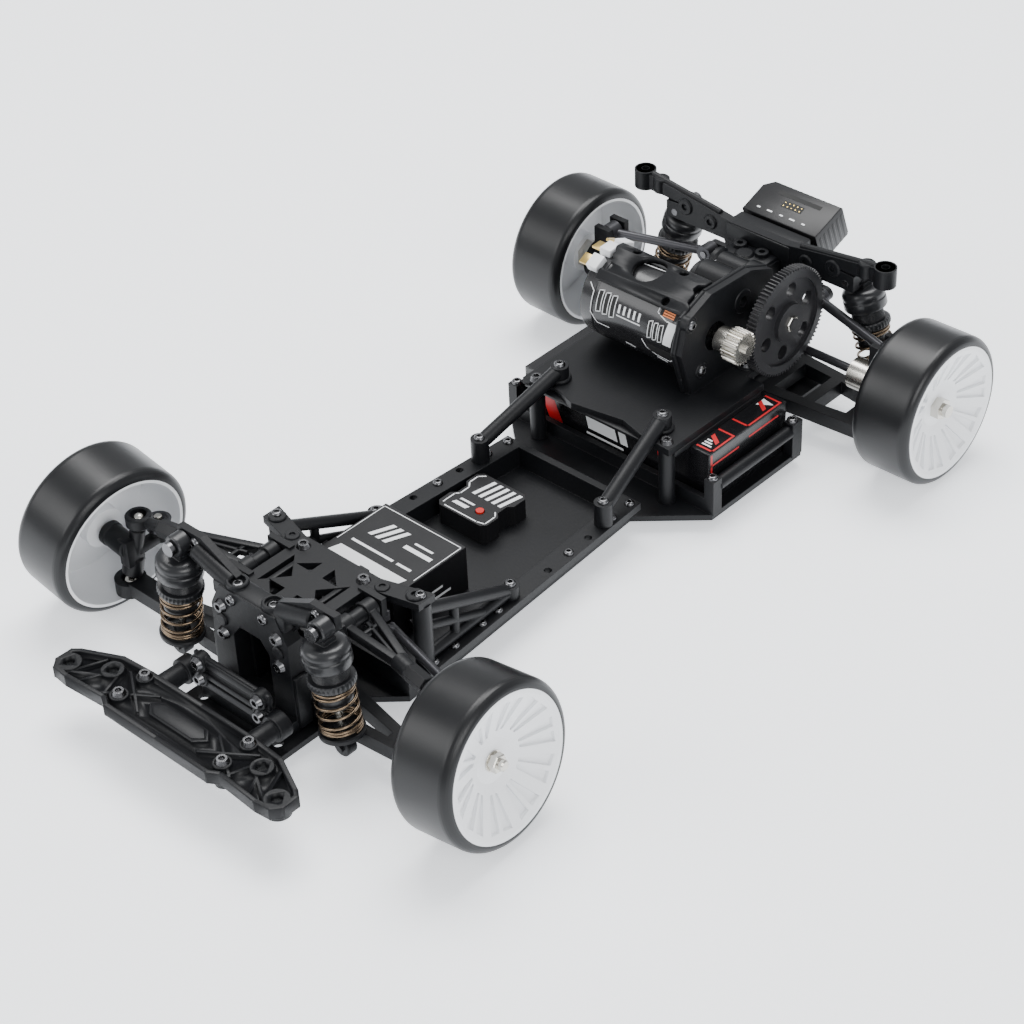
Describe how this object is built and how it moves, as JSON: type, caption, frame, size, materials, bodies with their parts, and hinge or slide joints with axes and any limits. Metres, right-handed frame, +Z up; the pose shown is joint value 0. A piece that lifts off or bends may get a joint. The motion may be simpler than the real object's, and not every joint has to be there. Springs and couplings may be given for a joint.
{
  "type": "radio control drift car chassis",
  "caption": "Two-wheel-drive radio control drift car chassis without bodyshell: sprung independent suspension, steering linkage, electric motor and geared rear drive.",
  "frame": {"origin": "middle of the overall length on the ground under the tyres", "axes": "+X to the car's left, -Y to the car's front, +Z up"},
  "size_m": [0.222, 0.36, 0.075],
  "materials": {
    "black_plastic": "satin",
    "tyre_black": "satin",
    "rim_white": "satin",
    "steel": "brushed",
    "dark_steel": "satin",
    "screw_steel": "satin",
    "spring_bronze": "satin",
    "motor_black": "gloss",
    "battery_black": "gloss",
    "case_black": "satin",
    "servo_black": "satin",
    "button_red": "gloss",
    "gear_plastic": "satin",
    "label_white": "satin",
    "label_red": "gloss",
    "brass_insert": "satin"
  },
  "bodies": {
    "chassis": {"chassis_tub": "black_plastic", "front_bulkhead": "black_plastic", "front_top_plate": "black_plastic", "front_bumper": "black_plastic", "frame_braces": "black_plastic", "motor_mount_deck": "black_plastic", "battery": "battery_black", "servo": "servo_black", "gyro": "case_black", "motor": "motor_black", "gearbox_case": "black_plastic", "rear_tower": "black_plastic", "speed_control": "case_black", "screws_and_pins": "screw_steel"},
    "steering_rack": {"steering_rack": "dark_steel"},
    "servo_horn": {"servo_horn": "black_plastic"},
    "gyro_button": {"gyro_button": "button_red"},
    "pinion_gear": {"pinion_gear": "steel"},
    "spur_gear": {"spur_gear": "black_plastic"},
    "final_gear": {"final_gear": "gear_plastic"},
    "front_left_lower_arm": {"front_left_lower_arm": "black_plastic"},
    "front_left_ball_stud": {"front_left_ball_stud": "steel"},
    "front_left_knuckle": {"front_left_knuckle": "black_plastic"},
    "front_left_upper_arm": {"front_left_upper_arm": "black_plastic"},
    "front_left_tie_rod": {"front_left_tie_rod": "dark_steel"},
    "front_left_shock_rod": {"front_left_shock_rod": "steel"},
    "front_left_shock_body": {"front_left_shock_body": "black_plastic", "front_left_shock_spring": "spring_bronze"},
    "front_left_wheel": {"front_left_tyre": "tyre_black", "front_left_wheel": "rim_white"},
    "rear_left_lower_arm": {"rear_left_lower_arm": "black_plastic"},
    "rear_left_hub_carrier": {"rear_left_hub_carrier": "black_plastic"},
    "rear_left_upper_link": {"rear_left_upper_link": "dark_steel"},
    "rear_left_drive_shaft": {"rear_left_drive_shaft": "dark_steel"},
    "rear_left_shock_rod": {"rear_left_shock_rod": "steel"},
    "rear_left_shock_body": {"rear_left_shock_body": "black_plastic", "rear_left_shock_spring": "spring_bronze"},
    "rear_left_wheel": {"rear_left_tyre": "tyre_black", "rear_left_wheel": "rim_white", "rear_left_axle": "steel"},
    "front_right_lower_arm": {"front_right_lower_arm": "black_plastic"},
    "front_right_ball_stud": {"front_right_ball_stud": "steel"},
    "front_right_knuckle": {"front_right_knuckle": "black_plastic"},
    "front_right_upper_arm": {"front_right_upper_arm": "black_plastic"},
    "front_right_tie_rod": {"front_right_tie_rod": "dark_steel"},
    "front_right_shock_rod": {"front_right_shock_rod": "steel"},
    "front_right_shock_body": {"front_right_shock_body": "black_plastic", "front_right_shock_spring": "spring_bronze"},
    "front_right_wheel": {"front_right_tyre": "tyre_black", "front_right_wheel": "rim_white"},
    "rear_right_lower_arm": {"rear_right_lower_arm": "black_plastic"},
    "rear_right_hub_carrier": {"rear_right_hub_carrier": "black_plastic"},
    "rear_right_upper_link": {"rear_right_upper_link": "dark_steel"},
    "rear_right_drive_shaft": {"rear_right_drive_shaft": "dark_steel"},
    "rear_right_shock_rod": {"rear_right_shock_rod": "steel"},
    "rear_right_shock_body": {"rear_right_shock_body": "black_plastic", "rear_right_shock_spring": "spring_bronze"},
    "rear_right_wheel": {"rear_right_tyre": "tyre_black", "rear_right_wheel": "rim_white", "rear_right_axle": "steel"}
  },
  "joints": [
    {"name": "steering", "type": "slide", "parent": "chassis", "child": "steering_rack", "axis": [1, 0, 0], "range_m": [-0.00496, 0.00496]},
    {"name": "servo_horn_turn", "type": "hinge", "parent": "chassis", "child": "servo_horn", "pos_m": [0, -0.0775, 0.0163], "axis": [0, 1, 0], "range_deg": [-18, 18]},
    {"name": "gyro_button_press", "type": "slide", "parent": "chassis", "child": "gyro_button", "axis": [0, 0, -1], "range_m": [0, 0.0006], "stiffness_N_per_m": 400, "springref_m": -0.0002},
    {"name": "front_left_suspension", "type": "hinge", "parent": "chassis", "child": "front_left_lower_arm", "pos_m": [0.016, -0.1205, 0.012], "axis": [0, -1, 0], "range_deg": [-6, 6], "stiffness_Nm_per_rad": 3, "springref_deg": -3.44},
    {"name": "front_left_ball", "type": "hinge", "parent": "front_left_lower_arm", "child": "front_left_ball_stud", "pos_m": [0.083, -0.1205, 0.011], "axis": [0, -1, 0], "range_deg": [-7, 7]},
    {"name": "front_left_steer", "type": "hinge", "parent": "front_left_ball_stud", "child": "front_left_knuckle", "pos_m": [0.083, -0.1205, 0.011], "axis": [-0.1756, 0.1301, 0.9758], "range_deg": [-28.5, 28.5]},
    {"name": "front_left_wheel_spin", "type": "hinge", "parent": "front_left_knuckle", "child": "front_left_wheel", "pos_m": [0.0948, -0.1205, 0.03133], "axis": [0.9919, 0.0416, 0.1201], "continuous": true},
    {"name": "front_left_upper_swing", "type": "hinge", "parent": "chassis", "child": "front_left_upper_arm", "pos_m": [0.0245, -0.1205, 0.043], "axis": [0, -1, 0], "range_deg": [-8, 8]},
    {"name": "front_left_tie_rod_swing", "type": "hinge", "parent": "steering_rack", "child": "front_left_tie_rod", "pos_m": [0.022, -0.0985, 0.033], "axis": [0, -1, 0], "range_deg": [-7.5, 7.5]},
    {"name": "front_left_shock_swing", "type": "hinge", "parent": "chassis", "child": "front_left_shock_body", "pos_m": [0.0355, -0.1315, 0.06], "axis": [0, -1, 0], "range_deg": [-3, 3]},
    {"name": "front_left_shock_travel", "type": "slide", "parent": "front_left_shock_body", "child": "front_left_shock_rod", "axis": [0.124, 0, -0.9923], "range_m": [-0.003, 0.003], "deforming": ["front_left_shock_spring"]},
    {"name": "rear_left_suspension", "type": "hinge", "parent": "chassis", "child": "rear_left_lower_arm", "pos_m": [0.016, 0.1355, 0.012], "axis": [0, -1, 0], "range_deg": [-6, 6], "stiffness_Nm_per_rad": 3, "springref_deg": -4.58},
    {"name": "rear_left_carrier_pivot", "type": "hinge", "parent": "rear_left_lower_arm", "child": "rear_left_hub_carrier", "pos_m": [0.07, 0.1355, 0.012], "axis": [0, -1, 0], "range_deg": [-7, 7]},
    {"name": "rear_left_wheel_spin", "type": "hinge", "parent": "rear_left_hub_carrier", "child": "rear_left_wheel", "pos_m": [0.088, 0.1355, 0.03054], "axis": [0.9999, 0, 0.0157], "continuous": true},
    {"name": "rear_left_drive_shaft_spin", "type": "hinge", "parent": "rear_left_lower_arm", "child": "rear_left_drive_shaft", "pos_m": [0.036, 0.1355, 0.03054], "axis": [1, 0, 0], "continuous": true},
    {"name": "rear_left_upper_swing", "type": "hinge", "parent": "chassis", "child": "rear_left_upper_link", "pos_m": [0.028, 0.147, 0.047], "axis": [0, -1, 0], "range_deg": [-8, 8]},
    {"name": "rear_left_shock_swing", "type": "hinge", "parent": "chassis", "child": "rear_left_shock_body", "pos_m": [0.043, 0.153, 0.0615], "axis": [0, -1, 0], "range_deg": [-3, 3]},
    {"name": "rear_left_shock_travel", "type": "slide", "parent": "rear_left_shock_body", "child": "rear_left_shock_rod", "axis": [0.2883, 0, -0.9575], "range_m": [-0.0048, 0.0048], "deforming": ["rear_left_shock_spring"]},
    {"name": "front_right_suspension", "type": "hinge", "parent": "chassis", "child": "front_right_lower_arm", "pos_m": [-0.016, -0.1205, 0.012], "axis": [0, 1, 0], "range_deg": [-6, 6], "stiffness_Nm_per_rad": 3, "springref_deg": -3.44},
    {"name": "front_right_ball", "type": "hinge", "parent": "front_right_lower_arm", "child": "front_right_ball_stud", "pos_m": [-0.083, -0.1205, 0.011], "axis": [0, 1, 0], "range_deg": [-7, 7]},
    {"name": "front_right_steer", "type": "hinge", "parent": "front_right_ball_stud", "child": "front_right_knuckle", "pos_m": [-0.083, -0.1205, 0.011], "axis": [0.1756, 0.1301, 0.9758], "range_deg": [-28.5, 28.5]},
    {"name": "front_right_wheel_spin", "type": "hinge", "parent": "front_right_knuckle", "child": "front_right_wheel", "pos_m": [-0.0948, -0.1205, 0.03133], "axis": [-0.9919, 0.0416, 0.1201], "continuous": true},
    {"name": "front_right_upper_swing", "type": "hinge", "parent": "chassis", "child": "front_right_upper_arm", "pos_m": [-0.0245, -0.1205, 0.043], "axis": [0, 1, 0], "range_deg": [-8, 8]},
    {"name": "front_right_tie_rod_swing", "type": "hinge", "parent": "steering_rack", "child": "front_right_tie_rod", "pos_m": [-0.022, -0.0985, 0.033], "axis": [0, 1, 0], "range_deg": [-7.5, 7.5]},
    {"name": "front_right_shock_swing", "type": "hinge", "parent": "chassis", "child": "front_right_shock_body", "pos_m": [-0.0355, -0.1315, 0.06], "axis": [0, 1, 0], "range_deg": [-3, 3]},
    {"name": "front_right_shock_travel", "type": "slide", "parent": "front_right_shock_body", "child": "front_right_shock_rod", "axis": [-0.124, 0, -0.9923], "range_m": [-0.003, 0.003], "deforming": ["front_right_shock_spring"]},
    {"name": "rear_right_suspension", "type": "hinge", "parent": "chassis", "child": "rear_right_lower_arm", "pos_m": [-0.016, 0.1355, 0.012], "axis": [0, 1, 0], "range_deg": [-6, 6], "stiffness_Nm_per_rad": 3, "springref_deg": -4.58},
    {"name": "rear_right_carrier_pivot", "type": "hinge", "parent": "rear_right_lower_arm", "child": "rear_right_hub_carrier", "pos_m": [-0.07, 0.1355, 0.012], "axis": [0, 1, 0], "range_deg": [-7, 7]},
    {"name": "rear_right_wheel_spin", "type": "hinge", "parent": "rear_right_hub_carrier", "child": "rear_right_wheel", "pos_m": [-0.088, 0.1355, 0.03054], "axis": [0.9999, 0, -0.0157], "continuous": true},
    {"name": "rear_right_drive_shaft_spin", "type": "hinge", "parent": "rear_right_lower_arm", "child": "rear_right_drive_shaft", "pos_m": [-0.036, 0.1355, 0.03054], "axis": [1, 0, 0], "continuous": true},
    {"name": "rear_right_upper_swing", "type": "hinge", "parent": "chassis", "child": "rear_right_upper_link", "pos_m": [-0.028, 0.147, 0.047], "axis": [0, 1, 0], "range_deg": [-8, 8]},
    {"name": "rear_right_shock_swing", "type": "hinge", "parent": "chassis", "child": "rear_right_shock_body", "pos_m": [-0.043, 0.153, 0.0615], "axis": [0, 1, 0], "range_deg": [-3, 3]},
    {"name": "rear_right_shock_travel", "type": "slide", "parent": "rear_right_shock_body", "child": "rear_right_shock_rod", "axis": [-0.2883, 0, -0.9575], "range_m": [-0.0048, 0.0048], "deforming": ["rear_right_shock_spring"]},
    {"name": "final_drive_spin", "type": "hinge", "parent": "chassis", "child": "final_gear", "pos_m": [0, 0.1355, 0.03054], "axis": [1, 0, 0], "continuous": true},
    {"name": "spur_spin", "type": "hinge", "parent": "chassis", "child": "spur_gear", "pos_m": [0, 0.1203, 0.052], "axis": [1, 0, 0], "continuous": true},
    {"name": "motor_spin", "type": "hinge", "parent": "chassis", "child": "pinion_gear", "pos_m": [0, 0.0918, 0.0546], "axis": [1, 0, 0], "continuous": true}
  ],
  "couplings": [
    {"joint": "servo_horn_turn", "follows": "steering", "rad_per_m": 59.88},
    {"joint": "front_left_ball", "follows": "front_left_suspension", "ratio": -1},
    {"joint": "front_left_steer", "follows": "steering", "rad_per_m": -98.481},
    {"joint": "front_left_upper_swing", "follows": "front_left_suspension", "ratio": 1.2618},
    {"joint": "front_left_tie_rod_swing", "follows": "front_left_suspension", "ratio": 1.1754},
    {"joint": "front_left_shock_swing", "follows": "front_left_suspension", "ratio": 0.065385},
    {"joint": "front_left_shock_travel", "follows": "front_left_suspension", "m_per_rad": -0.025303},
    {"joint": "rear_left_carrier_pivot", "follows": "rear_left_suspension", "ratio": -1},
    {"joint": "rear_left_drive_shaft_spin", "follows": "rear_left_wheel_spin", "ratio": 1},
    {"joint": "rear_left_upper_swing", "follows": "rear_left_suspension", "ratio": 1.2857},
    {"joint": "rear_left_shock_swing", "follows": "rear_left_suspension", "ratio": 0.18425},
    {"joint": "rear_left_shock_travel", "follows": "rear_left_suspension", "m_per_rad": -0.040124},
    {"joint": "front_right_ball", "follows": "front_right_suspension", "ratio": -1},
    {"joint": "front_right_steer", "follows": "steering", "rad_per_m": -98.481},
    {"joint": "front_right_upper_swing", "follows": "front_right_suspension", "ratio": 1.2618},
    {"joint": "front_right_tie_rod_swing", "follows": "front_right_suspension", "ratio": 1.1754},
    {"joint": "front_right_shock_swing", "follows": "front_right_suspension", "ratio": 0.065385},
    {"joint": "front_right_shock_travel", "follows": "front_right_suspension", "m_per_rad": -0.025303},
    {"joint": "rear_right_carrier_pivot", "follows": "rear_right_suspension", "ratio": -1},
    {"joint": "rear_right_wheel_spin", "follows": "rear_left_wheel_spin", "ratio": 1},
    {"joint": "rear_right_drive_shaft_spin", "follows": "rear_left_wheel_spin", "ratio": 1},
    {"joint": "rear_right_upper_swing", "follows": "rear_right_suspension", "ratio": 1.2857},
    {"joint": "rear_right_shock_swing", "follows": "rear_right_suspension", "ratio": 0.18425},
    {"joint": "rear_right_shock_travel", "follows": "rear_right_suspension", "m_per_rad": -0.040124},
    {"joint": "final_drive_spin", "follows": "rear_left_wheel_spin", "ratio": 1},
    {"joint": "spur_spin", "follows": "rear_left_wheel_spin", "ratio": -2.6667},
    {"joint": "motor_spin", "follows": "rear_left_wheel_spin", "ratio": 9.3333}
  ]
}
